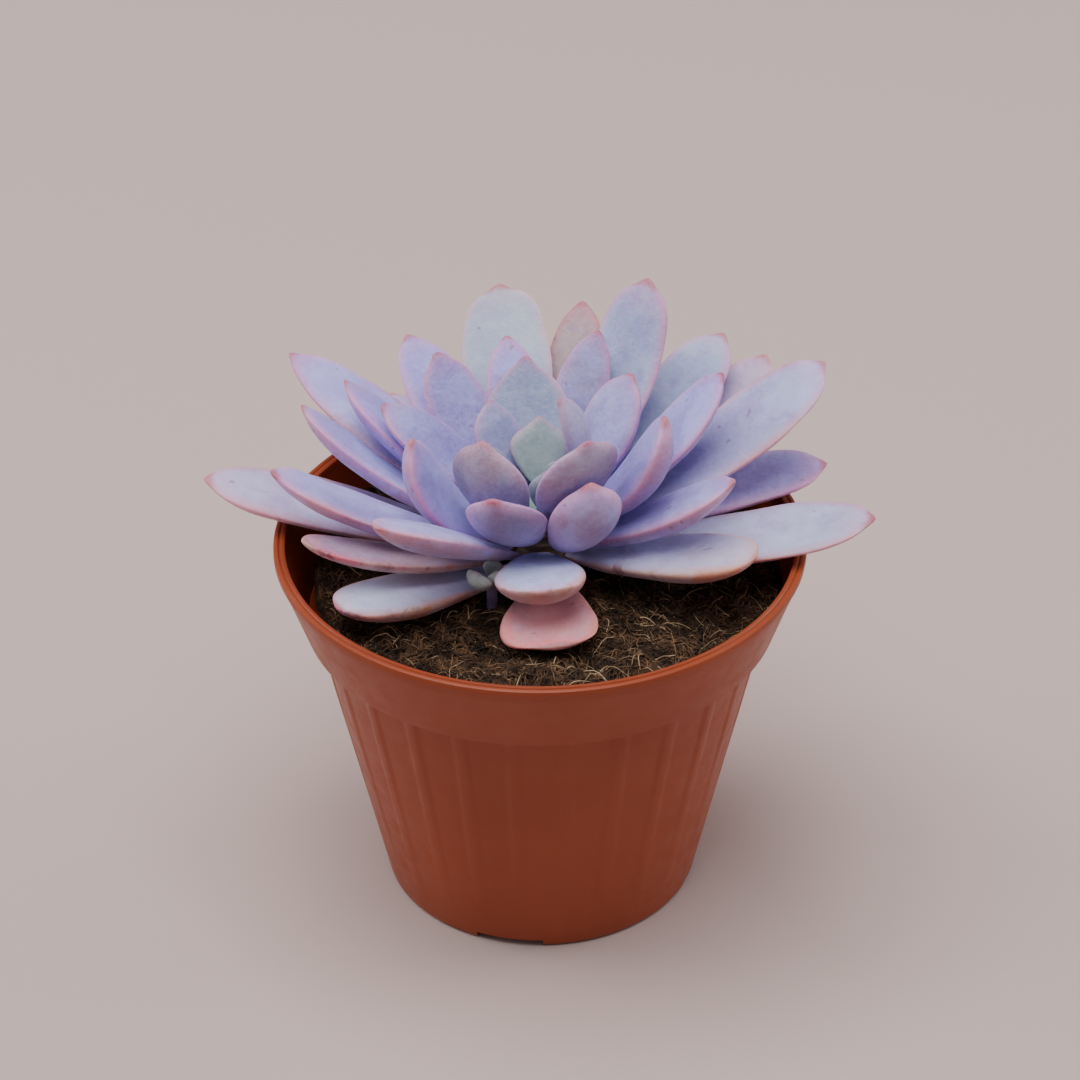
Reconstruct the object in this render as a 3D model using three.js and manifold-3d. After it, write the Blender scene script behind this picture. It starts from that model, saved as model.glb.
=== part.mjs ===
// A rosette succulent growing in a round plastic nursery pot.
// Millimetres, +Z up. The origin is the middle of the pot's base, on the surface it stands on.
// Turns are degrees about Z: 0 is +X, 90 is +Y, and -90 is the side the plant is seen from.

import * as THREE from 'three';
import { mergeVertices } from 'three/addons/utils/BufferGeometryUtils.js';
import Module from 'manifold-3d';

const wasm = await Module();
wasm.setup();

// ---- Driving dimensions ----

// Pot
const rimRadius = 52.5;
const potHeight = 78;
const baseRadius = 31.5;
const wall = 1.2;
const floorThickness = 1.4;
const collarHeight = 16.5;
const collarFlare = 5.3;        // how much wider the collar is at the rim than at its foot
const collarStep = 2.6;         // how far the collar stands out from the body
const lipWidth = 2.4;
const lipHeight = 1.6;
const lipGroove = 0.35;
const lipOverhang = 0.35;
const lipRounding = 0.2;
const ribCount = 26;
const ribHeight = 0.5;
const ribHalfAngle = 1.9;       // degrees
const ribFadeHeight = 5;        // the ribs have died away this low on the body
const footHeight = 1.8;
const footWidth = 2.2;
const footNotchCount = 4;
const footNotchWidth = 13.5;
const footNotchTurn = -102;     // the notch that is left of the front
const drainHoleCount = 6;
const drainHoleRadius = 3;
const drainCircleRadius = 18;
const centrePadRadius = 7;

// Soil
const soilDrop = 8.5;           // from the rim down to the soil at the wall
const soilMound = 1.5;          // how much higher the soil is at the stem
const soilShrink = 3.2;         // the gap where the soil has shrunk from the wall
const soilShrinkTurn = 188;
const soilLumps = 0.3;
const soilLumpWidth = 5;
const soilFit = 0.3;

// Stem
const stemRadius = 5;
const crownRadius = 3.2;
const crownAboveRim = 9.5;
const stemInSoil = 12;
const stemCollar = 1;           // straight part of the stem just above the soil
const stemFootShare = 0.8;
const stemFootRounding = 2;
const crownDome = 1.6;
const crownTopShare = 0.6;
const leafDrop = 7;             // leaves count their rise from this far below the rim
const leafFit = 0.35;           // gap between a leaf's root and the stem

// Pup: a small offset that comes up beside the stem's foot
const pup = { turn: -126, standOff: 11, radius: 1.1, height: 6.5, inSoil: 3 };

// Leaf section, as shares of the leaf's own width and thickness
const leafUpperShare = 0.34;    // of the thickness that lies above the margins
const leafCupShare = 0.1;       // how much the margins rise above the midline

// The leaf's outline from root to tip. Widths and thicknesses are shares of the leaf's greatest.
const leafStations = [
  { along: 0.00, pointed: 0.00, blunt: 0.00, thick: 0.00 },
  { along: 0.03, pointed: 0.20, blunt: 0.20, thick: 0.24 },
  { along: 0.13, pointed: 0.40, blunt: 0.40, thick: 0.48 },
  { along: 0.29, pointed: 0.66, blunt: 0.66, thick: 0.74 },
  { along: 0.46, pointed: 0.87, blunt: 0.87, thick: 0.92 },
  { along: 0.62, pointed: 1.00, blunt: 1.00, thick: 1.00 },
  { along: 0.77, pointed: 0.93, blunt: 1.00, thick: 0.93 },
  { along: 0.89, pointed: 0.65, blunt: 0.86, thick: 0.68 },
  { along: 0.96, pointed: 0.35, blunt: 0.60, thick: 0.42 },
  { along: 1.00, pointed: 0.00, blunt: 0.00, thick: 0.00 },
];
const leafSides = 12;
const leafSteps = 100;

// ---- What follows from the driving dimensions ----

const collarFootHeight = potHeight - collarHeight;
const collarFootRadius = rimRadius - collarFlare;
const bodyTopRadius = collarFootRadius - collarStep;
const floorTop = footHeight + floorThickness;
const soilEdgeHeight = potHeight - soilDrop;
const soilTop = soilEdgeHeight + soilMound;
const stemTop = potHeight + crownAboveRim;
const stemFoot = soilTop - stemInSoil;

const radians = THREE.MathUtils.degToRad;
const pupX = (stemRadius + pup.standOff) * Math.cos(radians(pup.turn));
const pupY = (stemRadius + pup.standOff) * Math.sin(radians(pup.turn));

function between(from, to, share) {
  return from + (to - from) * share;
}

function bodyRadiusAt(height) {
  return between(baseRadius, bodyTopRadius, height / collarFootHeight);
}

function collarInnerRadiusAt(height) {
  const share = (height - collarFootHeight) / (collarHeight - lipHeight);
  return between(collarFootRadius - wall, rimRadius - lipWidth, share);
}

// The stem is full width at the soil and narrows to the crown.
function stemRadiusAt(height) {
  const tapering = stemTop - soilTop - stemCollar - crownDome;
  const share = THREE.MathUtils.clamp((height - soilTop - stemCollar) / tapering, 0, 1);
  return between(stemRadius, crownRadius, share);
}

// ---- Tools for solids ----

function toSolid(geometry) {
  const bare = geometry.clone();
  bare.deleteAttribute('normal');
  bare.deleteAttribute('uv');
  const merged = mergeVertices(bare, 1e-4);
  return new wasm.Manifold(new wasm.Mesh({
    numProp: 3,
    vertProperties: new Float32Array(merged.attributes.position.array),
    triVerts: new Uint32Array(merged.index.array),
  }));
}

function toGeometry(solid) {
  const mesh = solid.getMesh();
  const geometry = new THREE.BufferGeometry();
  geometry.setAttribute('position', new THREE.BufferAttribute(mesh.vertProperties, 3));
  geometry.setIndex(new THREE.BufferAttribute(mesh.triVerts, 1));
  geometry.computeVertexNormals();
  return geometry;
}

// A turned shape about Z, from [radius, height] points that start and end on the axis.
function turned(profile, segments) {
  const points = profile.map(([radius, height]) => new THREE.Vector2(radius, height));
  return new THREE.LatheGeometry(points, segments).rotateX(Math.PI / 2);
}

function named(name, geometry, material) {
  const mesh = new THREE.Mesh(geometry, material);
  mesh.name = name;
  return mesh;
}

// ---- Pot ----

function potProfile() {
  const lipTop = potHeight;
  const lipFoot = potHeight - lipHeight;
  const lipInner = rimRadius - lipWidth;
  const lipMiddle = rimRadius - lipWidth / 2;
  return [
    [0, 0],
    [centrePadRadius, 0],
    [centrePadRadius, footHeight],
    [baseRadius - footWidth, footHeight],
    [baseRadius - footWidth, 0],
    [baseRadius, 0],
    [bodyRadiusAt(ribFadeHeight / 2), ribFadeHeight / 2],
    [bodyRadiusAt(ribFadeHeight), ribFadeHeight],
    [bodyTopRadius, collarFootHeight],
    [collarFootRadius, collarFootHeight],
    [rimRadius - lipOverhang, lipFoot],
    [rimRadius, lipFoot + lipOverhang],
    [rimRadius - lipRounding, lipTop],
    [lipMiddle, lipTop - lipGroove],
    [lipInner + lipRounding, lipTop],
    [lipInner, lipFoot],
    [collarFootRadius - wall, collarFootHeight],
    [bodyTopRadius - wall, collarFootHeight - wall],
    [bodyRadiusAt(floorTop) - wall, floorTop],
    [0, floorTop],
  ];
}

// Slim upright ribs stand out of the body below the collar.
function addRibs(geometry, profile) {
  const firstRibRow = 7;
  const lastRibRow = 8;
  const pitch = 360 / ribCount;
  const offsets = [0, ribHalfAngle, pitch - ribHalfAngle];
  const position = geometry.attributes.position;
  for (let i = 0; i < position.count; i += 1) {
    const row = i % profile.length;
    const column = Math.floor(i / profile.length);
    const turn = radians(Math.floor(column / 3) * pitch + offsets[column % 3]);
    const onRib = column % 3 === 0 && row >= firstRibRow && row <= lastRibRow;
    const radius = profile[row][0] + (onRib ? ribHeight : 0);
    position.setXY(i, radius * Math.cos(turn), radius * Math.sin(turn));
  }
  return geometry;
}

function buildPot() {
  const profile = potProfile();
  let solid = toSolid(addRibs(turned(profile, ribCount * 3), profile));
  for (let i = 0; i < footNotchCount; i += 1) {
    const notch = new THREE.BoxGeometry(footWidth * 3, footNotchWidth, footHeight * 2);
    notch.translate(baseRadius - footWidth / 2, 0, 0);
    notch.rotateZ(radians(footNotchTurn + i * 360 / footNotchCount));
    solid = solid.subtract(toSolid(notch));
  }
  for (let i = 0; i < drainHoleCount; i += 1) {
    const hole = new THREE.CylinderGeometry(drainHoleRadius, drainHoleRadius, floorTop * 3, 20);
    hole.rotateX(Math.PI / 2).translate(drainCircleRadius, 0, 0);
    hole.rotateZ(radians(i * 360 / drainHoleCount));
    solid = solid.subtract(toSolid(hole));
  }
  const terracotta = new THREE.MeshStandardMaterial({ color: 0xa8553a, roughness: 0.45, metalness: 0 });
  return named('pot', toGeometry(solid), terracotta);
}

// ---- Soil ----

function soilProfile() {
  const socket = stemRadius + soilFit;
  const edge = collarInnerRadiusAt(soilEdgeHeight) - soilFit;
  const top = [0.25, 0.42, 0.6, 0.78, 0.92].map((share) => [
    edge * share,
    between(soilTop, soilEdgeHeight, share),
  ]);
  return [
    [0, floorTop + soilFit],
    [bodyRadiusAt(floorTop) - wall - soilFit, floorTop + soilFit],
    [bodyTopRadius - wall - soilFit * 2, collarFootHeight - wall],
    [collarFootRadius - wall - soilFit, collarFootHeight + soilFit],
    [edge, soilEdgeHeight],
    ...top.reverse(),
    [socket, soilTop],
    [socket, stemFoot - soilFit],
    [0, stemFoot - soilFit],
  ];
}

// The soil's own surface is lumpy, and it has a socket for the stem and one for the pup's stalk.
function buildSoil() {
  const profile = soilProfile();
  const geometry = turned(profile, 48);
  const position = geometry.attributes.position;
  const shrinkRows = [3, 4];
  const lumpRows = [4, 5, 6, 7, 8, 9];
  for (let i = 0; i < position.count; i += 1) {
    const row = i % profile.length;
    const x = position.getX(i);
    const y = position.getY(i);
    const turn = Math.atan2(y, x);
    const facing = Math.max(0, Math.cos(turn - radians(soilShrinkTurn)));
    const radius = profile[row][0];
    if (shrinkRows.includes(row)) {
      const inward = soilShrink * facing ** 4;
      position.setXY(i, (radius - inward) * Math.cos(turn), (radius - inward) * Math.sin(turn));
    }
    if (lumpRows.includes(row)) {
      const broad = Math.sin(x / soilLumpWidth + 1) * Math.cos(y / soilLumpWidth);
      const small = Math.sin((x - y) * 2 / soilLumpWidth) / 2;
      position.setZ(i, position.getZ(i) + soilLumps * (broad + small));
    }
  }
  const socket = pup.radius + soilFit;
  const pupSocket = new THREE.CylinderGeometry(socket, socket, (pup.inSoil + soilFit) * 2, 12);
  pupSocket.rotateX(Math.PI / 2).translate(pupX, pupY, soilTop);
  const peat = new THREE.MeshStandardMaterial({ color: 0x2c2018, roughness: 1, metalness: 0 });
  return named('soil', toGeometry(toSolid(geometry).subtract(toSolid(pupSocket))), peat);
}

// ---- Stem ----

function buildStem() {
  const profile = [
    [0, stemFoot],
    [stemRadius * stemFootShare, stemFoot],
    [stemRadius, stemFoot + stemFootRounding],
    [stemRadius, soilTop + stemCollar],
    [crownRadius, stemTop - crownDome],
    [crownRadius * crownTopShare, stemTop - crownDome / 4],
    [0, stemTop],
  ];
  const bark = new THREE.MeshStandardMaterial({ color: 0x8a7a6a, roughness: 0.8, metalness: 0 });
  return named('stem', turned(profile, 24), bark);
}

// ---- Leaves ----

// Walks out along the middle of a leaf. Each step has its place and the leaf's own three
// directions: ahead to the tip, side across the blade, and up out of the upper face.
function walkLeaf(leaf, stem) {
  const lift = leaf.lift;
  const curl = leaf.curl ?? 0;
  const sway = leaf.sway ?? 0;
  const height = stem.foot + leaf.rise;
  const rootThickness = leafStations[1].thick * leaf.thick * leafUpperShare;
  const reach = stem.radiusAt(height) + leafFit + rootThickness * Math.abs(Math.sin(radians(lift)));
  const place = new THREE.Vector3(reach, 0, 0).applyAxisAngle(new THREE.Vector3(0, 0, 1), radians(leaf.turn));
  place.add(new THREE.Vector3(stem.x, stem.y, height));
  const steps = [];
  for (let i = 0; i <= leafSteps; i += 1) {
    const share = i / leafSteps;
    const up = radians(lift + curl * share);
    const round = radians(leaf.turn + sway * share);
    const ahead = new THREE.Vector3(
      Math.cos(up) * Math.cos(round),
      Math.cos(up) * Math.sin(round),
      Math.sin(up),
    );
    const side = new THREE.Vector3(-Math.sin(round), Math.cos(round), 0);
    side.applyAxisAngle(ahead, radians(leaf.roll ?? 0));
    steps.push({ place: place.clone(), ahead, side, up: ahead.clone().cross(side) });
    place.addScaledVector(ahead, leaf.length / leafSteps);
  }
  return steps;
}

// One fleshy leaf: a ball drawn out along its walk, flatter above than below, its margins raised.
function buildLeaf(name, leaf, stem, material) {
  const rows = leafStations.length - 1;
  const geometry = new THREE.SphereGeometry(1, leafSides, rows);
  const position = geometry.attributes.position;
  const steps = walkLeaf(leaf, stem);
  for (let i = 0; i < position.count; i += 1) {
    const station = leafStations[Math.floor(i / (leafSides + 1))];
    const angle = (i % (leafSides + 1)) * 2 * Math.PI / leafSides;
    const across = -Math.cos(angle);
    const above = Math.sin(angle);
    const step = steps[Math.round(station.along * leafSteps)];
    const halfWidth = between(station.pointed, station.blunt, leaf.blunt) * leaf.width / 2;
    const thickness = station.thick * leaf.thick;
    const faceShare = above > 0 ? leafUpperShare : 1 - leafUpperShare;
    const rise = thickness * (faceShare * above + leafCupShare * across * across);
    const point = step.place.clone();
    if (halfWidth > 0) {
      point.addScaledVector(step.side, across * halfWidth);
      point.addScaledVector(step.up, rise);
    }
    position.setXYZ(i, point.x, point.y, point.z);
  }
  geometry.computeVertexNormals();
  return named(name, geometry, material);
}

// The whorls, from the oldest leaves on the soil to the heart. turn is where a leaf leaves the
// stem, rise how far up, lift its slope at the root, curl how much steeper it is at
// the tip, sway how far it swings round on the way, and roll how far the blade is tipped. A whorl
// gives what its leaves have in common, and each leaf adds what is its own.
const whorls = [
  {
    name: 'leaf_outer', color: 0xb9a3b8,
    common: { rise: 2, lift: 5, curl: 15, length: 50, width: 16, thick: 5, blunt: 0.8 },
    leaves: [
      { turn: 95, rise: 1 },
      { turn: 125 },
      { turn: 165, rise: 1, lift: 11, curl: 5, length: 63, roll: -5, sway: 18 },
      { turn: 200, rise: 4, curl: 24, length: 46, width: 12, roll: 5, thick: 4 },
      { turn: 211, rise: 1.5, lift: 3, curl: 8, length: 41, width: 15, roll: 3, thick: 6, blunt: 1 },
      { turn: -85, rise: 3, lift: -5, curl: 5, length: 26, width: 18, roll: 5, thick: 3.5, blunt: 1.6 },
      {
        turn: -21, rise: 4, lift: 9, curl: 10, length: 42, width: 15, roll: 3, sway: -5,
        thick: 6, blunt: 1,
      },
      { turn: 0, lift: 6, length: 62, roll: 10, sway: -17, thick: 4 },
      { turn: 36, rise: 2.5, curl: 32, length: 61, roll: 5, sway: 12 },
      { turn: 65 },
    ],
  },
  {
    name: 'leaf_lower', color: 0xb4a4c4,
    common: { rise: 5, lift: 15, curl: 20, length: 54, width: 16, thick: 5, blunt: 0.8 },
    leaves: [
      { turn: 100, curl: 32, length: 57, width: 19, roll: -25, sway: -3, blunt: 1.2 },
      { turn: 135, rise: 4, curl: 7, length: 64, width: 15, roll: -5, sway: 12, blunt: 0.1 },
      { turn: 165, rise: 6.5, lift: 10, curl: 30, length: 50, width: 13, roll: 25, sway: -10 },
      { turn: 190, length: 52, roll: 10, sway: -5 },
      { turn: 225, rise: 5, lift: 35, curl: -5, length: 45, width: 13, roll: 5, thick: 6 },
      { turn: -90, rise: 6.5, lift: 12, curl: 5, length: 24, width: 18, roll: 3, thick: 7, blunt: 1 },
      { turn: -15, rise: 6.5, lift: 20, length: 39, width: 13, thick: 6 },
      { turn: 16, rise: 6.5, lift: 18, length: 62, width: 18, roll: 5, sway: 5, thick: 4 },
      { turn: 20, rise: 4, curl: -10, length: 55, width: 14, roll: 10, sway: -10 },
      { turn: 50, length: 56, roll: 5, sway: -5, thick: 6 },
      { turn: 80, rise: 4, curl: 30, width: 12, roll: -10 },
    ],
  },
  {
    name: 'leaf_middle', color: 0xa79dca,
    common: { rise: 8, lift: 20, curl: 40, length: 44, width: 14, thick: 5, blunt: 0.6 },
    leaves: [
      { turn: 100, lift: 25, curl: 20, length: 40, width: 11, roll: -10 },
      { turn: 120, rise: 7, lift: 15, curl: 20, length: 50, width: 15, sway: 5 },
      { turn: 150, rise: 7, curl: 15, length: 46, roll: 25, sway: -5 },
      { turn: 193, lift: 15, curl: 70, length: 34, width: 13, roll: -25, thick: 6 },
      { turn: -55, rise: 8.5, lift: 25, curl: 60, length: 26, width: 15, roll: -5, sway: -15, thick: 7 },
      { turn: -10, rise: 10.5, lift: 25, curl: 55, length: 34, roll: 10, thick: 7 },
      { turn: 20, lift: 25, curl: 30 },
      { turn: 60, rise: 7.5, curl: 45, length: 54, width: 17, roll: -10, blunt: 0.9 },
    ],
  },
  {
    name: 'leaf_upper', color: 0x9d97cc,
    common: { rise: 9, lift: 30, curl: 25, length: 34, width: 14, thick: 5, blunt: 0.5 },
    leaves: [
      { turn: 75, length: 39, width: 11, roll: 15, sway: -15 },
      { turn: 100, rise: 11, lift: 35, length: 30, width: 17, roll: -10, sway: -10, thick: 3, blunt: 0 },
      { turn: 128, rise: 9, lift: 25, length: 38, width: 13, roll: -15, sway: -5, thick: 4 },
      { turn: 153, rise: 10.5, lift: 33, curl: 0, width: 14, sway: 10, thick: 5 },
      { turn: -110, lift: 40, curl: 15, length: 26, width: 16, roll: 15, sway: -10, thick: 6 },
      { turn: 40, rise: 10, lift: 40, length: 31, thick: 6 },
    ],
  },
  {
    name: 'leaf_inner', color: 0x9c9db5,
    common: { rise: 12, lift: 50, curl: 20, length: 25, width: 14, thick: 5, blunt: 0.3 },
    leaves: [
      { turn: 130, rise: 12.5, lift: 40, curl: 25, length: 21, width: 11, roll: 5, sway: -15 },
      { turn: -140, rise: 11, lift: 45, curl: 45, width: 17, roll: 25, sway: -5, thick: 6 },
      { turn: -55, lift: 55, length: 27, width: 19 },
      { turn: 20, rise: 11.5, lift: 55, curl: 70, length: 27, width: 11, roll: -30, sway: -5, thick: 4 },
      { turn: 90, rise: 16, lift: 45, length: 13, width: 12, roll: 10, blunt: 0 },
    ],
  },
  {
    name: 'leaf_heart', color: 0x8fa39a,
    common: { rise: 15, lift: 60, curl: 20, length: 12, width: 7, thick: 3, blunt: 0.3 },
    leaves: [
      { turn: 165, rise: 14, lift: 55, length: 13 },
      { turn: -80, rise: 15.5 },
      { turn: 50, rise: 16, lift: 70, length: 6, width: 4 },
      { turn: -160, rise: 16, lift: 70, length: 7, width: 4 },
    ],
  },
];

function buildWhorl(whorl, stem) {
  const material = new THREE.MeshStandardMaterial({ color: whorl.color, roughness: 0.6, metalness: 0 });
  return whorl.leaves.map((leaf, index) => {
    const grown = { ...whorl.common, ...leaf };
    return buildLeaf(`${whorl.name}_${index + 1}`, grown, stem, material.clone());
  });
}

// ---- Pup ----

const pupWhorl = {
  name: 'pup_leaf', color: 0x8c9a8e,
  common: { rise: 5, lift: 60, curl: 20, length: 4, width: 3, thick: 1.8, blunt: 0.7 },
  leaves: [
    { turn: 225, rise: 4.5, lift: 50, length: 5, width: 5, thick: 2.5 },
    { turn: -60, rise: 5, lift: 75, length: 3.5, width: 3 },
    { turn: 85, rise: 4.5, lift: 65 },
  ],
};

function buildPup() {
  const foot = soilTop - pup.inSoil;
  const top = soilTop + pup.height;
  const profile = [[0, foot], [pup.radius, foot], [pup.radius, top - 0.6], [0, top]];
  const stalk = turned(profile, 12).translate(pupX, pupY, 0);
  const material = new THREE.MeshStandardMaterial({ color: 0x6d5a80, roughness: 0.7, metalness: 0 });
  const stem = { x: pupX, y: pupY, foot: soilTop, radiusAt: () => pup.radius };
  return [named('pup_stem', stalk, material), ...buildWhorl(pupWhorl, stem)];
}

// ---- The whole plant in its pot ----

const mainStem = { x: 0, y: 0, foot: potHeight - leafDrop, radiusAt: stemRadiusAt };
const plant = new THREE.Group();
plant.add(buildPot(), buildSoil(), buildStem());
whorls.forEach((whorl) => plant.add(...buildWhorl(whorl, mainStem)));
plant.add(...buildPup());

export default plant;
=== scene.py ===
import math
import random

import bmesh
import bpy
from mathutils import Matrix, Vector, noise
from mathutils.bvhtree import BVHTree


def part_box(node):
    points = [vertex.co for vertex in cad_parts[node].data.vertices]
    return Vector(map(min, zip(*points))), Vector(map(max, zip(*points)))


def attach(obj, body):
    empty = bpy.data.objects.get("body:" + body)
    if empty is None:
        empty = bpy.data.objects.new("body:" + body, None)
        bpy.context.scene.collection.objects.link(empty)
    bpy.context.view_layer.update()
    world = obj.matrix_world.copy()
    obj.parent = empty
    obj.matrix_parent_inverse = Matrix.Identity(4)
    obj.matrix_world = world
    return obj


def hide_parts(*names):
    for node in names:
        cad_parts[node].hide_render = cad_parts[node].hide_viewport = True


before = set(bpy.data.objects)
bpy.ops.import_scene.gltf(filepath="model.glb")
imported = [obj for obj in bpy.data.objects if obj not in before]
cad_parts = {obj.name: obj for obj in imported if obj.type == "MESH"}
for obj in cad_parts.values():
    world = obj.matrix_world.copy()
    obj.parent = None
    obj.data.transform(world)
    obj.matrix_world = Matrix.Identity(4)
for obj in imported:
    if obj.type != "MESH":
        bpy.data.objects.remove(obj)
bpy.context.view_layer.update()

MM = 0.001
random.seed(7)

POT_LOW, POT_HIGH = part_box("pot")
RIM_RADIUS = POT_HIGH.x
POT_HEIGHT = POT_HIGH.z

# The pot's own shape, in millimetres, as the CAD pot has it.
COLLAR_HEIGHT = 16.5
COLLAR_FLARE = 5.3
COLLAR_STEP = 2.6
BASE_RADIUS = 31.5
WALL = 1.2
FOOT_HEIGHT = 1.8
FOOT_WIDTH = 2.2
FLOOR_TOP = 3.2
RIB_COUNT = 26
RIB_HEIGHT = 0.5
SOIL_DROP = 8.5
SOIL_MOUND = 1.5
SOIL_GAP = 3.2
SOIL_GAP_TURN = math.radians(188)


# ---------------------------------------------------------------- materials

def paint(code):
    """Linear RGBA of a screen colour such as 'a8553a'."""
    channels = [int(code[i:i + 2], 16) / 255 for i in (0, 2, 4)]
    return [c / 12.92 if c <= 0.04045 else ((c + 0.055) / 1.055) ** 2.4 for c in channels] + [1.0]


class Skin:
    """One material, with short ways to add nodes to it."""

    def __init__(self, name):
        self.material = bpy.data.materials.new(name)
        self.material.use_nodes = True
        self.tree = self.material.node_tree
        self.tree.nodes.clear()
        output = self.tree.nodes.new("ShaderNodeOutputMaterial")
        self.shader = self.tree.nodes.new("ShaderNodeBsdfPrincipled")
        self.tree.links.new(self.shader.outputs[0], output.inputs[0])

    def put(self, value, socket):
        if isinstance(value, bpy.types.NodeSocket):
            self.tree.links.new(value, socket)
        elif value is not None:
            socket.default_value = value

    def surface(self, **values):
        """Sets the shader's own sockets: colour, roughness and so on."""
        for name, value in values.items():
            self.put(value, self.shader.inputs[name.replace("_", " ")])

    def attribute(self, name, output="Fac"):
        node = self.tree.nodes.new("ShaderNodeAttribute")
        node.attribute_name = name
        return node.outputs[output]

    def place(self):
        return self.tree.nodes.new("ShaderNodeTexCoord").outputs["Object"]

    def height(self):
        node = self.tree.nodes.new("ShaderNodeSeparateXYZ")
        self.put(self.place(), node.inputs[0])
        return node.outputs["Z"]

    def noise(self, scale, detail=3.0, rough=0.55, vector=None, distortion=0.0):
        node = self.tree.nodes.new("ShaderNodeTexNoise")
        self.put(vector or self.place(), node.inputs["Vector"])
        node.inputs["Scale"].default_value = scale
        node.inputs["Detail"].default_value = detail
        node.inputs["Roughness"].default_value = rough
        node.inputs["Distortion"].default_value = distortion
        return node.outputs[0]

    def stretched(self, scales):
        node = self.tree.nodes.new("ShaderNodeMapping")
        self.put(self.place(), node.inputs["Vector"])
        node.inputs["Scale"].default_value = scales
        return node.outputs[0]

    def math(self, operation, a, b=None, c=None):
        node = self.tree.nodes.new("ShaderNodeMath")
        node.operation = operation
        for value, socket in zip((a, b, c), node.inputs):
            self.put(value, socket)
        return node.outputs[0]

    def step(self, value, low, high, at_low=0.0, at_high=1.0):
        """A smooth change from at_low, where value is low, to at_high, where it is high."""
        node = self.tree.nodes.new("ShaderNodeMapRange")
        node.interpolation_type = "SMOOTHSTEP"
        for item, socket in zip((value, low, high, at_low, at_high), node.inputs):
            self.put(item, socket)
        return node.outputs[0]

    def mix(self, share, a, b, kind="MIX"):
        node = self.tree.nodes.new("ShaderNodeMix")
        node.data_type = "RGBA"
        node.blend_type = kind
        self.put(share, node.inputs[0])
        self.put(a, node.inputs[6])
        self.put(b, node.inputs[7])
        return node.outputs[2]

    def bump(self, height, distance, strength=1.0, normal=None):
        node = self.tree.nodes.new("ShaderNodeBump")
        self.put(height, node.inputs["Height"])
        node.inputs["Distance"].default_value = distance
        node.inputs["Strength"].default_value = strength
        self.put(normal, node.inputs["Normal"])
        return node.outputs[0]


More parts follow.
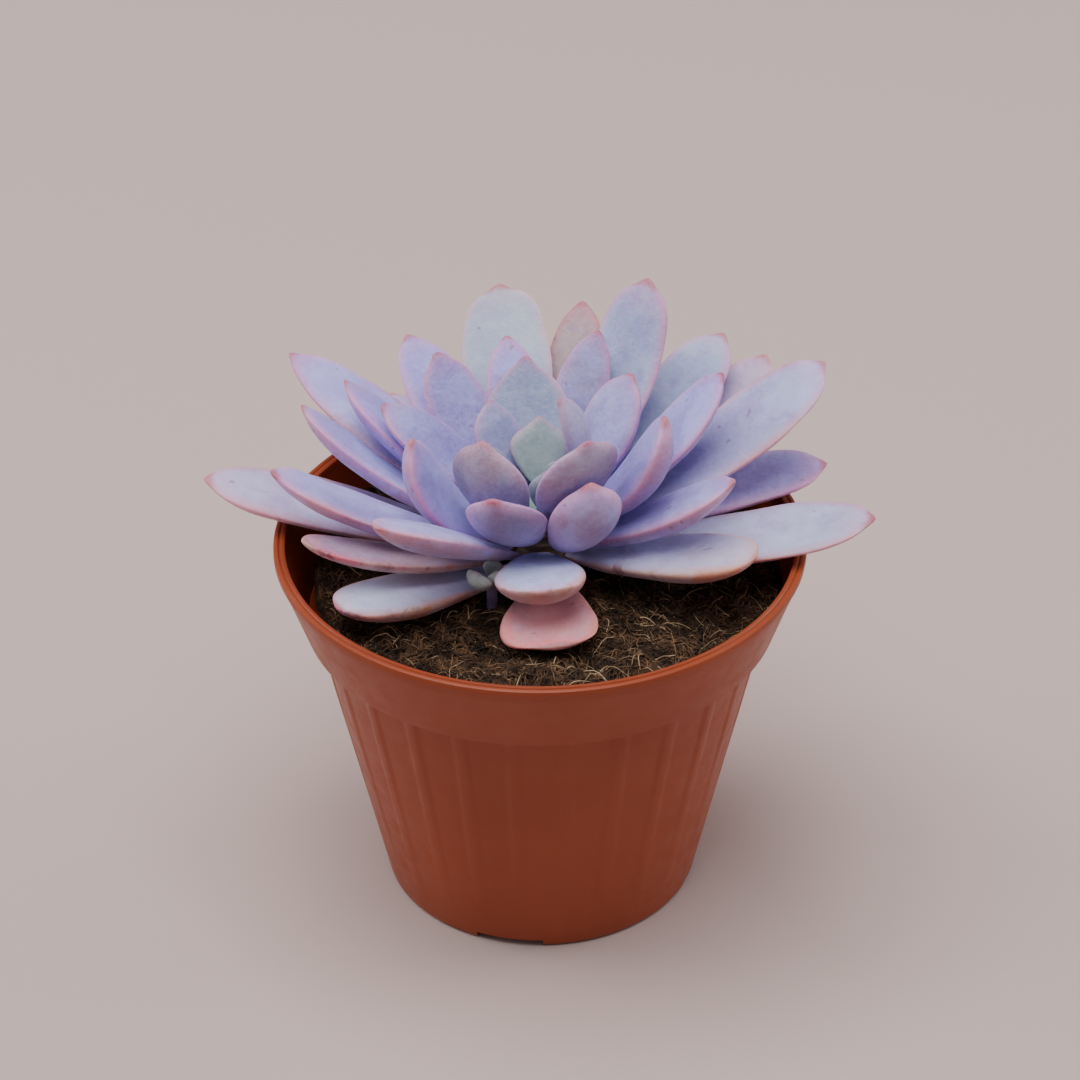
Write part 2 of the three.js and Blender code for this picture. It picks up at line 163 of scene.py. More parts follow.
def leaf_skin(slot):
    """Waxy leaf skin. The pieces carry the face and back colours, and where each point is."""
    skin = Skin(slot)
    along = skin.attribute("along")
    above = skin.attribute("above")
    rim = skin.attribute("rim")
    blush = skin.attribute("blush")
    wear = skin.attribute("wear")
    edge = skin.attribute("edge", "Color")
    patchy = skin.noise(85, 5, 0.62)
    cloudy = skin.noise(210, 5, 0.68, distortion=0.4)
    fine = skin.noise(1100, 3, 0.7)
    broad = skin.noise(30, 2)

    facing = skin.step(above, -0.2, 0.12)
    colour = skin.mix(facing, skin.attribute("back", "Color"), skin.attribute("face", "Color"))
    colour = skin.mix(skin.step(broad, 0.4, 0.68, 0.0, 0.4), colour, skin.attribute("root", "Color"))
    # Painted shade: each leaf is darkened toward its base with the root colour, as where the leaves crowd
    # the stem.
    root = skin.step(along, 0.0, 0.45, 0.55, 0.0)
    colour = skin.mix(root, colour, skin.attribute("root", "Color"))

    # Powdery bloom lies in clouds and is rubbed thin in places.
    bloom = skin.attribute("bloom", "Color")
    colour = skin.mix(skin.step(patchy, 0.42, 0.66, 0.0, 0.6), colour, bloom)
    colour = skin.mix(skin.step(cloudy, 0.5, 0.72, 0.0, 0.45), colour, bloom)
    bare = skin.step(skin.noise(130, 6, 0.7), 0.5, 0.36)
    colour = skin.mix(skin.math("MULTIPLY", bare, 0.38), colour, skin.attribute("root", "Color"))

    # The margin is pink, more so toward the tip, and the tip itself is red.
    reach = skin.step(broad, 0.3, 0.7, 0.4, 0.95)
    reach = skin.math("MULTIPLY", reach, skin.step(above, -0.25, 0.05, 0.3, 1.0))
    margin = skin.step(rim, 0.0, reach)
    margin = skin.math("SUBTRACT", 1.0, margin)
    margin = skin.math("MULTIPLY", margin, skin.step(skin.noise(70, 3, 0.5), 0.36, 0.6, 0.5, 1.0))
    margin = skin.math("MULTIPLY", margin, skin.step(along, 0.15, 0.8, 0.3, 1.0))
    margin = skin.math("MULTIPLY", margin, blush)
    colour = skin.mix(skin.math("MINIMUM", margin, 0.92), colour, edge)
    halo = skin.math("MULTIPLY", skin.step(rim, 0.2, 2.8, 0.42, 0.0), skin.step(along, 0.3, 0.9))
    colour = skin.mix(skin.math("MULTIPLY", halo, blush), colour, edge)
    flush = skin.step(skin.math("MULTIPLY_ADD", broad, 0.14, along), 0.93, 1.08)
    flush = skin.math("MULTIPLY", flush, blush)
    colour = skin.mix(skin.math("MULTIPLY", flush, 0.35), colour, edge)
    tip = skin.math("MULTIPLY", skin.step(along, 0.965, 0.995), blush)
    colour = skin.mix(skin.math("MINIMUM", tip, 0.85), colour, paint("b03a58"))

    # Worn leaves have brown and red scars, mostly low on the back.
    scar = skin.step(skin.noise(120, 5, 0.62, distortion=0.6), 0.53, 0.59)
    low = skin.step(above, 0.7, 0.1, 0.1, 1.0)
    scar = skin.math("MULTIPLY", skin.math("MULTIPLY", scar, wear), low)
    scar = skin.math("MULTIPLY", scar, skin.step(skin.noise(38, 2), 0.46, 0.56))
    colour = skin.mix(skin.math("MINIMUM", scar, 0.8), colour, paint("7d3236"))
    aged = skin.noise(55, 3, 0.5)
    cream = skin.math("MULTIPLY", skin.math("MULTIPLY", skin.step(aged, 0.34, 0.46), low), wear)
    colour = skin.mix(skin.math("MULTIPLY", cream, 0.6), colour, paint("dcb8a0"))
    orange = skin.math("MULTIPLY", skin.math("MULTIPLY", skin.step(aged, 0.49, 0.57), low), wear)
    colour = skin.mix(skin.math("MULTIPLY", orange, 0.7), colour, paint("d2763f"))
    speck = skin.step(skin.noise(420, 1, 0.4), 0.75, 0.77)
    colour = skin.mix(skin.math("MULTIPLY", speck, 0.5), colour, paint("7a5068"))
    scratch = skin.step(skin.noise(300, 4, 0.6, skin.stretched((1.0, 1.0, 3.5)), 1.8), 0.62, 0.72)
    colour = skin.mix(skin.math("MULTIPLY", scratch, 0.22), colour, paint("dcdcf0"))
    colour = skin.mix(skin.step(fine, 0.35, 0.7, 0.0, 0.16), colour, paint("d2d2ea"))

    grain = skin.bump(fine, 0.00015, 0.5)
    skin.surface(
        Base_Color=colour,
        Roughness=skin.step(patchy, 0.3, 0.7, 0.5, 0.62),
        Normal=skin.bump(patchy, 0.0012, 0.5, skin.bump(cloudy, 0.0004, 0.4, grain)),
        Subsurface_Weight=0.18,
        Subsurface_Radius=(1.0, 0.55, 0.5),
        Subsurface_Scale=0.0018,
        Sheen_Weight=0.22,
        Sheen_Roughness=0.5,
        Sheen_Tint=paint("d9d6ff"),
    )
    return skin.material


def pot_skin():
    skin = Skin("pot")
    broad = skin.noise(14, 3)
    fine = skin.noise(1400, 2, 0.6)
    dust = skin.noise(240, 5, 0.65)
    colour = skin.mix(skin.step(broad, 0.3, 0.7), paint("8c3a1b"), paint("984527"))
    colour = skin.mix(skin.step(dust, 0.62, 0.8, 0.0, 0.25), colour, paint("a0705c"))
    skin.surface(
        Base_Color=colour,
        Roughness=skin.step(dust, 0.3, 0.75, 0.34, 0.48),
        Normal=skin.bump(fine, 0.00005, 0.35),
        Specular_IOR_Level=0.3,
        Subsurface_Weight=0.06,
        Subsurface_Radius=(1.0, 0.35, 0.2),
        Subsurface_Scale=0.001,
    )
    return skin.material


def soil_skin():
    skin = Skin("soil")
    clump = skin.noise(170, 6, 0.7)
    grain = skin.noise(1500, 4, 0.75)
    colour = skin.mix(skin.step(clump, 0.35, 0.7), paint("1c130e"), paint("5a4332"))
    colour = skin.mix(skin.step(grain, 0.55, 0.8, 0.0, 0.5), colour, paint("8a6a50"))
    skin.surface(
        Base_Color=colour,
        Roughness=0.95,
        Specular_IOR_Level=0.2,
        Normal=skin.bump(grain, 0.0006, 0.9, skin.bump(clump, 0.002, 0.9)),
    )
    return skin.material


def fibre_skin(name, dark, light, rough=0.7):
    skin = Skin(name)
    shade = skin.noise(230, 3, 0.6)
    colour = skin.mix(skin.step(shade, 0.35, 0.65), paint(dark), paint(light))
    skin.surface(Base_Color=colour, Roughness=rough, Specular_IOR_Level=0.3)
    return skin.material


def bark_skin():
    skin = Skin("stem")
    rings = skin.noise(60, 4, 0.6, skin.stretched((1.0, 1.0, 9.0)))
    grain = skin.noise(900, 3, 0.7)
    colour = skin.mix(skin.step(rings, 0.35, 0.65), paint("5d4a3d"), paint("93826e"))
    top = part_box("stem")[1].z
    growing = skin.step(skin.height(), top - 5 * MM, top - 2 * MM)
    colour = skin.mix(growing, colour, paint("8ca494"))
    skin.surface(
        Base_Color=colour,
        Roughness=0.85,
        Normal=skin.bump(grain, 0.0003, 0.7, skin.bump(rings, 0.001, 0.8)),
    )
    return skin.material


def stalk_skin():
    skin = Skin("pup_stem")
    cloud = skin.noise(260, 4, 0.6)
    colour = skin.mix(skin.step(cloud, 0.3, 0.7), paint("6b5a86"), paint("8f7fa6"))
    skin.surface(
        Base_Color=colour,
        Roughness=0.6,
        Normal=skin.bump(cloud, 0.0003, 0.5),
        Subsurface_Weight=0.15,
        Subsurface_Radius=(1.0, 0.5, 0.5),
        Subsurface_Scale=0.001,
    )
    return skin.material


# ------------------------------------------------------------------- pieces

def finished(bm, name, material, smooth=True):
    """Turns an edit mesh into a named piece in the scene."""
    bmesh.ops.recalc_face_normals(bm, faces=bm.faces)
    for face in bm.faces:
        face.smooth = smooth
    mesh = bpy.data.meshes.new(name)
    bm.to_mesh(mesh)
    bm.free()
    piece = bpy.data.objects.new(name, mesh)
    mesh.materials.append(material)
    bpy.context.scene.collection.objects.link(piece)
    return piece


def rides(piece, slot, *nodes):
    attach(piece, "root")
    if nodes:
        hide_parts(*nodes)
    return piece


def settled(piece):
    """The piece's mesh with its modifiers worked in, and the modifiers gone."""
    bpy.context.view_layer.update()
    depsgraph = bpy.context.evaluated_depsgraph_get()
    mesh = bpy.data.meshes.new_from_object(piece.evaluated_get(depsgraph))
    piece.modifiers.clear()
    piece.data = mesh
    return piece


def spun(profile, steps):
    """A closed turned shape about Z from (radius, height) points in millimetres."""
    bm = bmesh.new()
    line = [bm.verts.new((radius * MM, 0, height * MM)) for radius, height in profile]
    edges = [bm.edges.new(pair) for pair in zip(line, line[1:])]
    bmesh.ops.spin(
        bm, geom=line + edges, cent=(0, 0, 0), axis=(0, 0, 1),
        angle=2 * math.pi, steps=steps, use_merge=True,
    )
    bmesh.ops.remove_doubles(bm, verts=bm.verts, dist=1e-7)
    return bm


# ---------------------------------------------------------------------- pot

def between(low, high, share):
    return low + (high - low) * share


def pot_profile():
    rim = RIM_RADIUS / MM
    top = POT_HEIGHT / MM
    foot = top - COLLAR_HEIGHT
    collar = rim - COLLAR_FLARE
    body = collar - COLLAR_STEP

    def body_radius(height):
        return between(BASE_RADIUS, body, height / foot)

    rows = [0.9, 1.6, 3, 5, 8, 12, 17, 23, 30, 37, 44, 50, 55, 58.5, 60.3]
    outside = [(body_radius(height), height) for height in rows]
    collar_out = [
        (between(collar, rim - 0.5, share), between(foot + 0.5, top - 2.1, share))
        for share in (0.0, 0.08, 0.3, 0.6, 0.9, 1.0)
    ]
    collar_in = [
        (between(rim - 2.45, collar - WALL, share), between(top - 2.1, foot, share))
        for share in (0.0, 0.3, 0.6, 0.9, 1.0)
    ]
    inside = [(body_radius(height) - WALL, height) for height in (50, 35, 20, 8)]
    return [
        (0, 0), (6.7, 0), (7, 0.25), (7, FOOT_HEIGHT - 0.2), (7.2, FOOT_HEIGHT),
        (BASE_RADIUS - FOOT_WIDTH - 0.2, FOOT_HEIGHT), (BASE_RADIUS - FOOT_WIDTH, FOOT_HEIGHT - 0.2),
        (BASE_RADIUS - FOOT_WIDTH, 0.3), (BASE_RADIUS - FOOT_WIDTH + 0.3, 0),
        (BASE_RADIUS - 0.9, 0), (BASE_RADIUS - 0.35, 0.15), (BASE_RADIUS - 0.08, 0.45),
        *outside,
        (body + 0.02, foot - 0.45), (body + 0.15, foot - 0.12), (body + 0.45, foot),
        (collar - 0.5, foot), (collar - 0.15, foot + 0.12),
        *collar_out,
        (rim - 0.45, top - 1.75), (rim - 0.12, top - 1.6), (rim, top - 1.3), (rim, top - 0.55),
        (rim - 0.12, top - 0.18), (rim - 0.4, top), (rim - 0.85, top), (rim - 1.0, top - 0.12),
        (rim - 1.1, top - 0.3), (rim - 1.3, top - 0.3), (rim - 1.4, top - 0.12),
        (rim - 1.55, top), (rim - 2.0, top), (rim - 2.28, top - 0.18), (rim - 2.4, top - 0.55),
        (rim - 2.4, top - 1.7),
        *collar_in,
        (body - WALL + 0.3, foot - WALL * 0.6), (body - WALL, foot - WALL),
        *inside,
        (body_radius(FLOOR_TOP) - WALL, FLOOR_TOP + 0.6), (body_radius(FLOOR_TOP) - WALL - 0.6, FLOOR_TOP),
        (0, FLOOR_TOP),
    ]


def build_pot():
    bm = spun(pot_profile(), 520)
    foot = (POT_HEIGHT / MM - COLLAR_HEIGHT) * MM
    pitch = 2 * math.pi / RIB_COUNT
    for vertex in bm.verts:
        x, y, z = vertex.co
        radius = math.hypot(x, y)
        outer = between(BASE_RADIUS, RIM_RADIUS / MM - COLLAR_FLARE - COLLAR_STEP, z / foot) * MM
        if not (4.9 * MM < z < foot - 0.2 * MM and abs(radius - outer) < 0.3 * MM):
            continue
        turn = math.atan2(y, x)
        away = abs((turn / pitch + 0.5) % 1 - 0.5) * pitch * radius / MM
        crest = 1 - min(1, max(0, (away - 0.7) / 1.1))
        crest = crest * crest * (3 - 2 * crest)
        fade = min(1, (z / MM - 4.9) / 40)
        grown = radius + 0.6 * RIB_HEIGHT * MM * crest * fade
        vertex.co.x, vertex.co.y = x * grown / radius, y * grown / radius
    piece = finished(bm, "pot_shell", pot_skin())

    cutters = bmesh.new()
    for i in range(6):
        turn = Matrix.Rotation(math.radians(i * 60), 4, "Z")
        bmesh.ops.create_cone(
            cutters, cap_ends=True, segments=40, radius1=3 * MM, radius2=3 * MM, depth=12 * MM,
            matrix=turn @ Matrix.Translation((18 * MM, 0, 0)),
        )
    for i in range(4):
        turn = Matrix.Rotation(math.radians(-102 + i * 90), 4, "Z")
        notch = turn @ Matrix.Translation(((BASE_RADIUS - 1.1) * MM, 0, 0))
        notch = notch @ Matrix.Diagonal((6.6 * MM, 13.5 * MM, 3.6 * MM, 1))
        bmesh.ops.create_cube(cutters, size=1, matrix=notch)
    tool = finished(cutters, "pot_cutters", piece.data.materials[0])
    cut = piece.modifiers.new("openings", "BOOLEAN")
    cut.operation = "DIFFERENCE"
    cut.solver = "EXACT"
    cut.object = tool
    settled(piece)
    bpy.data.objects.remove(tool)
    for face in piece.data.polygons:
        face.use_smooth = True
    bpy.context.view_layer.objects.active = piece
    piece.select_set(True)
    bpy.ops.object.shade_smooth_by_angle(angle=math.radians(38))
    piece.select_set(False)
    return rides(piece, "pot", "pot")


# --------------------------------------------------------------------- soil

SOIL_EDGE = RIM_RADIUS / MM - 2.4 - (COLLAR_FLARE - 1.2) * (SOIL_DROP - 1.6) / (COLLAR_HEIGHT - 1.6) - 0.35


def soil_reach(turn):
    """How far out the soil goes, which is less where it has shrunk from the wall."""
    return SOIL_EDGE - SOIL_GAP * max(0.0, math.cos(turn - SOIL_GAP_TURN)) ** 4


def soil_height(x, y):
    """The soil's top in millimetres: a low mound with clods and hollows."""
    radius = math.hypot(x, y)
    base = POT_HEIGHT / MM - SOIL_DROP + SOIL_MOUND * (1 - radius / SOIL_EDGE)
    clods = noise.fractal(Vector((x, y, 3.0)) / 8.0, 0.8, 2.1, 5)
    pits = noise.noise(Vector((x, y, 8.0)) / 4.2)
    return base + 1.5 * clods + 0.9 * pits - 0.6


def build_soil():
    top = POT_HEIGHT / MM - SOIL_DROP
    profile = [(0, FLOOR_TOP + 0.3), (BASE_RADIUS - WALL - 0.4, FLOOR_TOP + 0.3)]
    profile += [(42.8, 59.7), (45.6, 61.9), (SOIL_EDGE - 0.9, top - 3.0), (SOIL_EDGE, top - 1.2)]
    profile += [(SOIL_EDGE * (1 - i / 88), top) for i in range(89)]
    bm = spun(profile, 260)
    for vertex in bm.verts:
        x, y, z = vertex.co / MM
        radius = math.hypot(x, y)
        turn = math.atan2(y, x)
        if z < 61:
            continue
        share = soil_reach(turn) / SOIL_EDGE
        near = max(0.0, (radius / SOIL_EDGE - 0.8) / 0.2)
        scale = 1 - (1 - share) * near
        x, y = x * scale, y * scale
        if z > top - 0.1:
            z = soil_height(x, y) - 1.2 * max(0.0, (radius / SOIL_EDGE - 0.97) / 0.03)
        vertex.co = Vector((x, y, z)) * MM
    return rides(finished(bm, "soil_bed", soil_skin()), "soil", "soil")


def leaf_roof():
    """A tree of the CAD leaves, to keep what lies on the soil under them."""
    points, faces = [], []
    for name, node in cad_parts.items():
        if "leaf" not in name:
            continue
        first = len(points)
        points += [vertex.co.copy() for vertex in node.data.vertices]
        faces += [[first + index for index in face.vertices] for face in node.data.polygons]
    return BVHTree.FromPolygons(points, faces)


ROOF = leaf_roof()


def under_leaves(x, y, z, lowest, clearance):
    """z, or as near to it as the leaf above that spot allows."""
    hit = ROOF.ray_cast(Vector((x, y, lowest)) * MM, Vector((0, 0, 1)))[0]
    return z if hit is None else min(z, hit.z / MM - clearance)


def scattered(inner):
    """A random place on the soil, farther out than inner."""
    turn = random.uniform(-math.pi, math.pi)
    radius = math.sqrt(random.uniform(inner ** 2, (soil_reach(turn) - 1.2) ** 2))
    return radius * math.cos(turn), radius * math.sin(turn)


def build_fibres(name, count, lengths, thickness, lift, curl, material, inner=7.0):
    """Many thin curly fibres that lie on the soil, as one piece."""
    curve = bpy.data.curves.new(name, "CURVE")
    curve.dimensions = "3D"
    curve.bevel_depth = MM
    curve.bevel_resolution = 0
    curve.use_fill_caps = True
    for _ in range(count):
        x, y = scattered(inner)
        heading = random.uniform(-math.pi, math.pi)
        bend = random.gauss(0, curl)
        length = random.uniform(*lengths)
        parts = 5
        arch = random.uniform(0.1, 1.0) ** 2 * lift
        tilt = random.uniform(-0.6, 0.9)
        thick = random.uniform(*thickness)
        points = []
        for i in range(parts + 1):
            share = i / parts
            reach = soil_reach(math.atan2(y, x)) - 0.8
            radius = math.hypot(x, y)
            if radius > reach:
                x, y = x * reach / radius, y * reach / radius
                heading += 0.9
            ground = soil_height(x, y)
            rise = arch * math.sin(math.pi * min(1, share + 0.08)) + tilt * share - 0.25
            z = under_leaves(x, y, ground + rise, ground - 0.5, 0.5)
            points.append((x * MM, y * MM, z * MM, thick * (1 - 0.55 * share)))
            heading += bend + random.gauss(0, curl * 0.9)
            x += math.cos(heading) * length / parts
            y += math.sin(heading) * length / parts
        spline = curve.splines.new("POLY")
        spline.points.add(parts)
        for point, (px, py, pz, size) in zip(spline.points, points):
            point.co = (px, py, pz, 1)
            point.radius = size
    lines = bpy.data.objects.new(name + "_lines", curve)
    bpy.context.scene.collection.objects.link(lines)
    bpy.context.view_layer.update()
    mesh = bpy.data.meshes.new_from_object(lines.evaluated_get(bpy.context.evaluated_depsgraph_get()))
    bpy.data.objects.remove(lines)
    bm = bmesh.new()
    bm.from_mesh(mesh)
    return rides(finished(bm, name, material), "soil")


def build_crumbs(name, count, sizes, material):
    """Crumbs of peat on the soil, as one piece."""
    bm = bmesh.new()
    for _ in range(count):
        x, y = scattered(7.0)
        size = random.uniform(*sizes)
        z = under_leaves(x, y, soil_height(x, y) + size * 0.3, soil_height(x, y) - 0.5, size + 0.2)
        stretch = [size * random.uniform(0.6, 1.3) * MM for _ in range(3)]
        turn = Matrix.Rotation(random.uniform(0, 6.3), 4, Vector((random.random(), random.random(), 1)))
        place = Matrix.Translation(Vector((x, y, z)) * MM) @ turn @ Matrix.Diagonal((*stretch, 1))
        made = bmesh.ops.create_icosphere(bm, subdivisions=1, radius=1, matrix=place)
        for vertex in made["verts"]:
            vertex.co += noise.noise_vector(vertex.co * 1500) * size * 0.8 * MM
    return rides(finished(bm, name, material), "soil")


# ------------------------------------------------------------------- leaves

# Colours of each whorl: upper face, back, bloom, root (also painted over each leaf's base as shade), edge;
# then how pink and how worn it is.
WHORL_LOOKS = {
    "leaf_outer": ("bcb0ea", "c8a4c0", "ced0fc", "9c86c4", "ee88b0", 1.0, 0.6),
    "leaf_lower": ("a89ee8", "aa8ece", "c2c4fc", "8a72c0", "ea8ec0", 1.0, 0.3),
    "leaf_middle": ("9c90e2", "9680cc", "b6b6f8", "806ac0", "e48cc4", 0.95, 0.18),
    "leaf_upper": ("8a7ecc", "8a74b8", "a4a2e2", "7062ac", "da86bc", 0.9, 0.12),
    "leaf_inner": ("9292c8", "947aa4", "aeb0d8", "747fa6", "ce86b0", 0.65, 0.1),
    "leaf_heart": ("88a2a4", "8c9ea0", "acc0bc", "6a8c8e", "bc8cae", 0.4, 0.0),
    "pup_leaf": ("98a6a2", "92a094", "b8c4b8", "78868c", "c0a0aa", 0.3, 0.0),
}

# Leaves that differ from their whorl.
LEAF_LOOKS = {
    "leaf_outer_3": {"face": "bca8d0", "back": "c8a2b4", "wear": 0.4},
    "leaf_outer_4": {
        "face": "a88494", "back": "cc9078", "bloom": "c6a8b4", "edge": "e0566a", "wear": 0.9, "keen": 0.4,
    },
    "leaf_outer_5": {"face": "c6d0ee", "back": "d4a8b8", "edge": "ee8878", "wear": 1.0, "keen": 0.2},
    "leaf_outer_6": {
        "face": "de8a8a", "back": "ee8058", "edge": "f43c50", "bloom": "e0a4ae",
        "root": "b888ac", "blush": 1.7, "wear": 0.7, "wavy": 0.16, "keen": 0.0,
    },
    "leaf_outer_7": {"face": "c4c2de", "back": "bca4cc", "edge": "e88a68", "wear": 1.0, "keen": 0.2},
    "leaf_outer_8": {"face": "c2cae8", "back": "cc9a68", "edge": "e07aa0"},
    "leaf_outer_9": {"face": "c2accc", "back": "c8a4b4"},
    "leaf_lower_1": {"face": "a4b4cc", "bloom": "c4d0dc", "root": "9ca4cc", "edge": "e0b0c4"},
    "leaf_lower_6": {"face": "bccaf4", "back": "e6bcb0", "edge": "f484a4", "wear": 0.7, "keen": 0.2},
    "leaf_lower_8": {"face": "b0b4e0", "wear": 0.45},
    "leaf_lower_10": {"face": "9cacd2", "bloom": "bcc8e0"},
    "leaf_lower_11": {"face": "ae9090", "bloom": "c8b8b4", "edge": "d46a7c"},
    "leaf_middle_8": {"face": "9eacd0", "bloom": "bccadc"},
    "leaf_upper_1": {"face": "9082b0"},
    "leaf_upper_2": {"face": "8e9cc0", "bloom": "acb8cc"},
    "leaf_upper_5": {"back": "8c7cb8"},
    "leaf_upper_6": {"face": "a49cdc", "bloom": "c0bcec"},
    "leaf_inner_2": {"back": "937c92"},
    "leaf_inner_3": {"back": "987aa4"},
    "leaf_inner_5": {"face": "94a4a4", "back": "92a29e", "bloom": "b0bcb6", "root": "749090"},
}

LOOK_FIELDS = ("face", "back", "bloom", "root", "edge", "blush", "wear")
TINTS = LOOK_FIELDS[:5]
PLACES = ("along", "across", "above", "half")


def look_of(node):
    whorl = node.rsplit("_", 1)[0]
    return {**dict(zip(LOOK_FIELDS, WHORL_LOOKS[whorl])), **LEAF_LOOKS.get(node, {})}


def leaf_rings(bm, foot):
    """The CAD leaf's root, its rings from root to tip, and its tip."""
    poles = sorted(bm.verts, key=lambda vertex: -len(vertex.link_edges))[:2]
    poles.sort(key=lambda vertex: (vertex.co.xy - foot).length + vertex.co.z)
    root, tip = poles
    rings, seen = [], {root}
    front = [root]
    while True:
        front = list({edge.other_vert(vertex) for vertex in front for edge in vertex.link_edges} - seen)
        if front == [tip] or not front:
            break
        seen.update(front)
        rings.append(front)
    return root, rings, tip


def build_leaf(node, foot, material):
    """The CAD leaf with a rounded body, a keen margin and a small point at its tip."""
    bm = bmesh.new()
    bm.from_mesh(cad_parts[node].data)
    bmesh.ops.remove_doubles(bm, verts=bm.verts, dist=1e-6)
    look = look_of(node)
    layers = {name: bm.verts.layers.float.new(name) for name in PLACES}
    crease = bm.edges.layers.float.new("crease_edge")
    bm.verts.ensure_lookup_table()
    root, rings, tip = leaf_rings(bm, foot)
    middles = [root.co] + [sum((v.co for v in ring), Vector()) / len(ring) for ring in rings] + [tip.co]
    walked = [0.0]
    for a, b in zip(middles, middles[1:]):
        walked.append(walked[-1] + (b - a).length)
    length = walked[-1]
    columns = {}
    widest = 0.0
    for index, ring in enumerate(rings, start=1):
        ahead = (middles[index + 1] - middles[index - 1]).normalized()
        middle = middles[index]
        pairs = [(a, b) for a in ring for b in ring]
        left, right = max(pairs, key=lambda pair: (pair[0].co - pair[1].co).length)
        centre = (left.co + right.co) / 2
        half = (left.co - right.co).length / 2
        side = (left.co - right.co).normalized()
        up = ahead.cross(side)
        outward = Vector((middle.x - foot.x, middle.y - foot.y, 0)).normalized()
        if up.dot(Vector((0, 0, 1)) - outward) < 0:
            side.negate()
            up.negate()
        widest = max(widest, half)
        offsets = {v: ((v.co - centre).dot(side), (v.co - centre).dot(up)) for v in ring}
        top = max(value[1] for value in offsets.values())
        bottom = -min(value[1] for value in offsets.values())
        turns = {v: math.atan2(b / (top if b > 0 else bottom), a / half) for v, (a, b) in offsets.items()}
        order = sorted(ring, key=lambda v: (turns[v] + 0.2) % (2 * math.pi))
        for column, vertex in enumerate(order):
            turn = column * math.pi / 6
            columns[vertex] = (index, column)
            vertex[layers["along"]] = walked[index] / length
            vertex[layers["across"]] = math.cos(turn)
            vertex[layers["above"]] = math.sin(turn)
            vertex[layers["half"]] = half / MM
    tip[layers["along"]] = 1.0
    slant = [
        edge for edge in bm.edges
        if all(v in columns for v in edge.verts)
        and columns[edge.verts[0]][0] != columns[edge.verts[1]][0]
        and columns[edge.verts[0]][1] != columns[edge.verts[1]][1]
    ]
    bmesh.ops.dissolve_edges(bm, edges=slant, use_verts=False)
    for edge in bm.edges:
        spots = [columns.get(v) for v in edge.verts]
        if all(spots) and spots[0][1] == spots[1][1] and spots[0][1] in (0, 6):
            edge[crease] = 0.25 if look["wear"] < 0.5 else 0.0
    swell = 0.35 if node.startswith("pup") else 0.03
    for vertex, (index, column) in columns.items():
        vertex.co += (vertex.co - middles[index]) * swell

    ahead = (tip.co - middles[-2]).normalized()
    tip_place = tip.co.copy()
    piece = finished(bm, node + "_blade", material)
    smooth = piece.modifiers.new("rounding", "SUBSURF")
    smooth.levels = smooth.render_levels = 3
    settled(piece)

    mesh = piece.data
    values = {name: mesh.attributes[name].data for name in PLACES}
    seed = Vector((sum(map(ord, node)) * 0.37, 0, 0))
    keen = look.get("keen", 1.0)
    point = 1.3 * MM * keen * min(1.0, widest / (6 * MM))
    spread = 1.9 * MM * min(1.0, widest / (6 * MM))
    normals = [vertex.normal.copy() for vertex in mesh.vertices]
    rim = mesh.attributes.new("rim", "FLOAT", "POINT")
    for index, vertex in enumerate(mesh.vertices):
        across = min(1.0, abs(values["across"][index].value))
        rim.data[index].value = (1 - across) * values["half"][index].value
        ripple = noise.noise(vertex.co * 95 + seed) * look.get("wavy", 0.05) * widest
        hollow = (1 - across ** 2) * max(0.0, values["above"][index].value)
        hollow *= 0.1 * widest * math.sin(math.pi * min(1.0, values["along"][index].value + 0.15))
        away = (vertex.co - tip_place).length / spread
        vertex.co += normals[index] * (ripple - hollow) + ahead * point * math.exp(-away * away)
    for name in TINTS:
        tint = mesh.attributes.new(name, "FLOAT_COLOR", "POINT")
        code = paint(look[name])
        for item in tint.data:
            item.color = code
    for name in ("blush", "wear"):
        amount = mesh.attributes.new(name, "FLOAT", "POINT")
        for item in amount.data:
            item.value = look[name]
    for face in mesh.polygons:
        face.use_smooth = True
    return rides(piece, node.rsplit("_", 1)[0], node)


def build_plant():
    skins = {whorl: leaf_skin(whorl) for whorl in WHORL_LOOKS}
    pup_low, pup_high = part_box("pup_stem")
    pup_foot = ((pup_low + pup_high) / 2).xy
    for node in sorted(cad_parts):
        if "leaf" in node:
            whorl = node.rsplit("_", 1)[0]
            foot = pup_foot if whorl == "pup_leaf" else Vector((0, 0))
            build_leaf(node, foot, skins[whorl])


def build_stalk(node, name, material, ripples, steps):
    """A stem from the CAD one's box: rounded, with the ring scars of fallen leaves."""
    low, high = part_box(node)
    middle = (low + high) / 2
    wide = (high.x - low.x) / 2 / MM
    foot, top = low.z / MM, high.z / MM
    bm = bmesh.new()
    bm.from_mesh(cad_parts[node].data)
    bmesh.ops.remove_doubles(bm, verts=bm.verts, dist=1e-6)
    tree = BVHTree.FromBMesh(bm)
    bm.free()
    profile = [(0, foot)]
    rows = 60
    for i in range(1, rows):
        height = between(foot, top, i / rows)
        start = Vector((middle.x + wide * 3 * MM, middle.y, height * MM))
        hit = tree.ray_cast(start, Vector((-1, 0, 0)))[0]
        radius = (hit.x - middle.x) / MM
        profile.append((radius - ripples * abs(math.sin(height * 2.4)), height))
    profile.append((0, top))
    bm = spun(profile, steps)
    for vertex in bm.verts:
        radius = vertex.co.xy.length
        if radius > 0.3 * MM:
            vertex.co.xy *= 1 + noise.noise(vertex.co * 500) * 0.05
    bmesh.ops.translate(bm, verts=bm.verts, vec=(middle.x, middle.y, 0))
    return rides(finished(bm, name, material), node, node)


build_pot()
build_soil()
build_plant()
build_stalk("stem", "stem_bark", bark_skin(), 0.18, 64)
build_stalk("pup_stem", "pup_stalk", stalk_skin(), 0.05, 32)

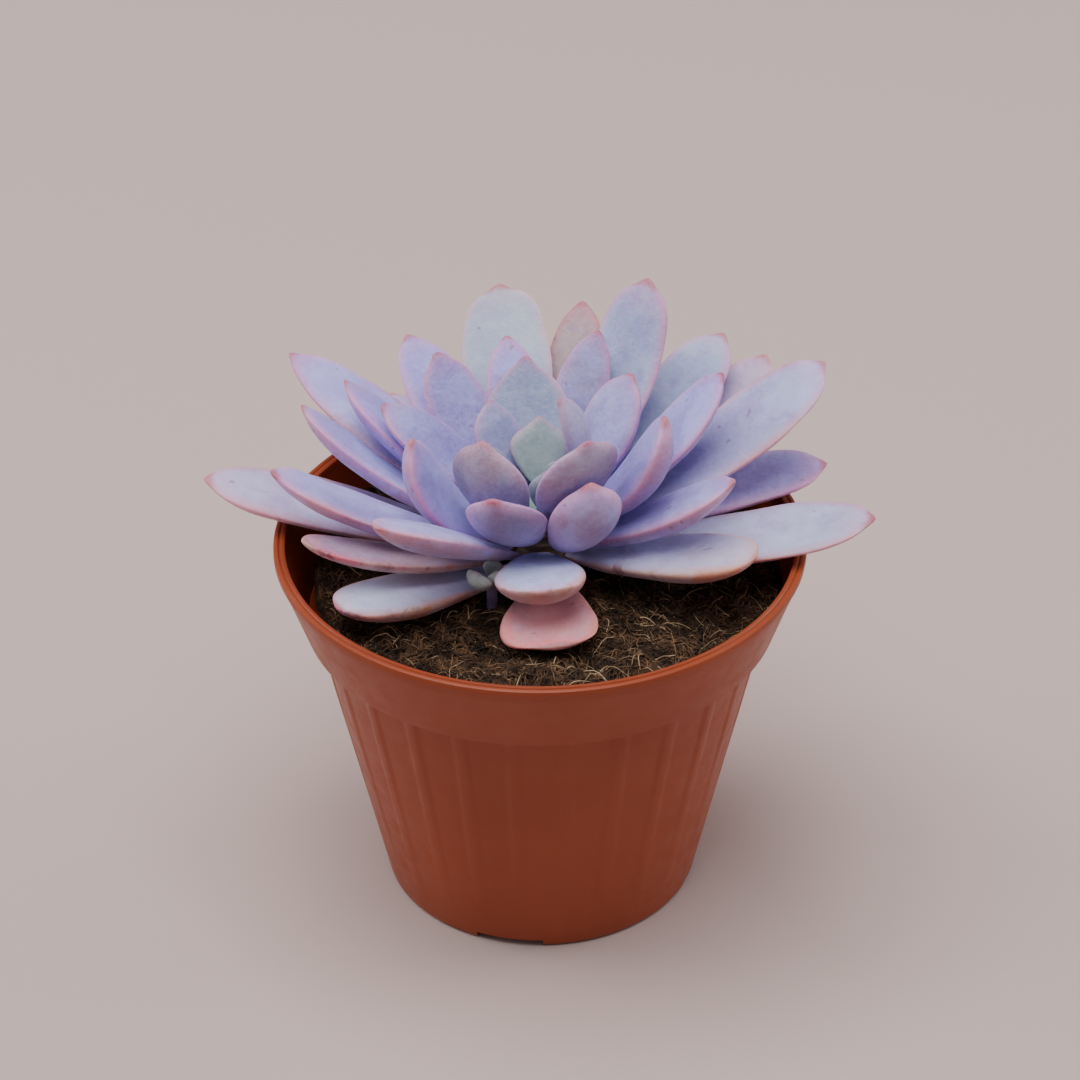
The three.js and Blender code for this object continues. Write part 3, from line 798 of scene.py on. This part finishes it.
FEWER = 1.0
peat = fibre_skin("soil_crumbs", "241911", "5c4432", 0.95)
build_crumbs("peat_crumbs", int(1900 * FEWER), (0.2, 0.7), peat)
brown = fibre_skin("soil_fibres_brown", "452f20", "8e6a4a")
build_fibres("coir_brown", int(4400 * FEWER), (1.5, 5), (0.05, 0.15), 1.2, 0.17, brown)
umber = fibre_skin("soil_fibres_umber", "33231a", "6e5038")
build_fibres("coir_umber", int(4400 * FEWER), (1.5, 5.5), (0.06, 0.2), 1.2, 0.17, umber)
dark = fibre_skin("soil_fibres_dark", "1f150f", "4c3626")
build_fibres("coir_dark", int(4400 * FEWER), (1.5, 5.5), (0.07, 0.24), 1.1, 0.17, dark)
tan = fibre_skin("soil_fibres_tan", "8c7054", "c4aa88")
build_fibres("coir_tan", int(700 * FEWER), (2, 8), (0.05, 0.15), 1.8, 0.16, tan)


# -------------------------------------------------------------------- stage

def build_floor():
    skin = Skin("floor")
    skin.surface(Base_Color=paint("c4aea8"), Roughness=0.9, Specular_IOR_Level=0.2)
    bm = bmesh.new()
    bmesh.ops.create_grid(bm, x_segments=1, y_segments=1, size=3.0)
    floor = finished(bm, "floor", skin.material)


def build_light(name, place, size, power, colour=(1, 1, 1)):
    lamp = bpy.data.lights.new(name, "AREA")
    lamp.shape = "RECTANGLE"
    lamp.size, lamp.size_y = size
    lamp.energy = power
    lamp.color = colour
    light = bpy.data.objects.new(name, lamp)
    place = Vector(place)
    light.location = place
    light.rotation_euler = (Vector((0, 0, 0.06)) - place).to_track_quat("-Z", "Y").to_euler()
    bpy.context.scene.collection.objects.link(light)


def build_camera():
    lens = bpy.data.cameras.new("camera")
    lens.lens = 130.6
    lens.sensor_width = 36
    lens.dof.use_dof = False
    lens.clip_start = 0.01
    camera = bpy.data.objects.new("camera", lens)
    tilt = Matrix.Rotation(math.radians(90 - 33.55), 4, "X")
    roll = Matrix.Rotation(math.radians(-0.31), 4, "Z")
    camera.matrix_world = Matrix.Translation((0, -0.6432, 0.5037)) @ tilt @ roll
    bpy.context.scene.collection.objects.link(camera)
    bpy.context.scene.camera = camera


build_floor()
build_light("overhead", (-0.15, -0.1, 1.45), (1.4, 1.1), 25)
build_light("left", (-1.3, 0.25, 0.6), (0.8, 0.8), 8)
build_light("right", (1.3, 0.35, 0.6), (0.8, 0.8), 8)
world = bpy.data.worlds.new("studio")
world.use_nodes = True
sky = world.node_tree.nodes["Background"]
sky.inputs["Color"].default_value = (0.9, 0.93, 1.0, 1)
sky.inputs["Strength"].default_value = 0.3
bpy.context.scene.world = world
build_camera()
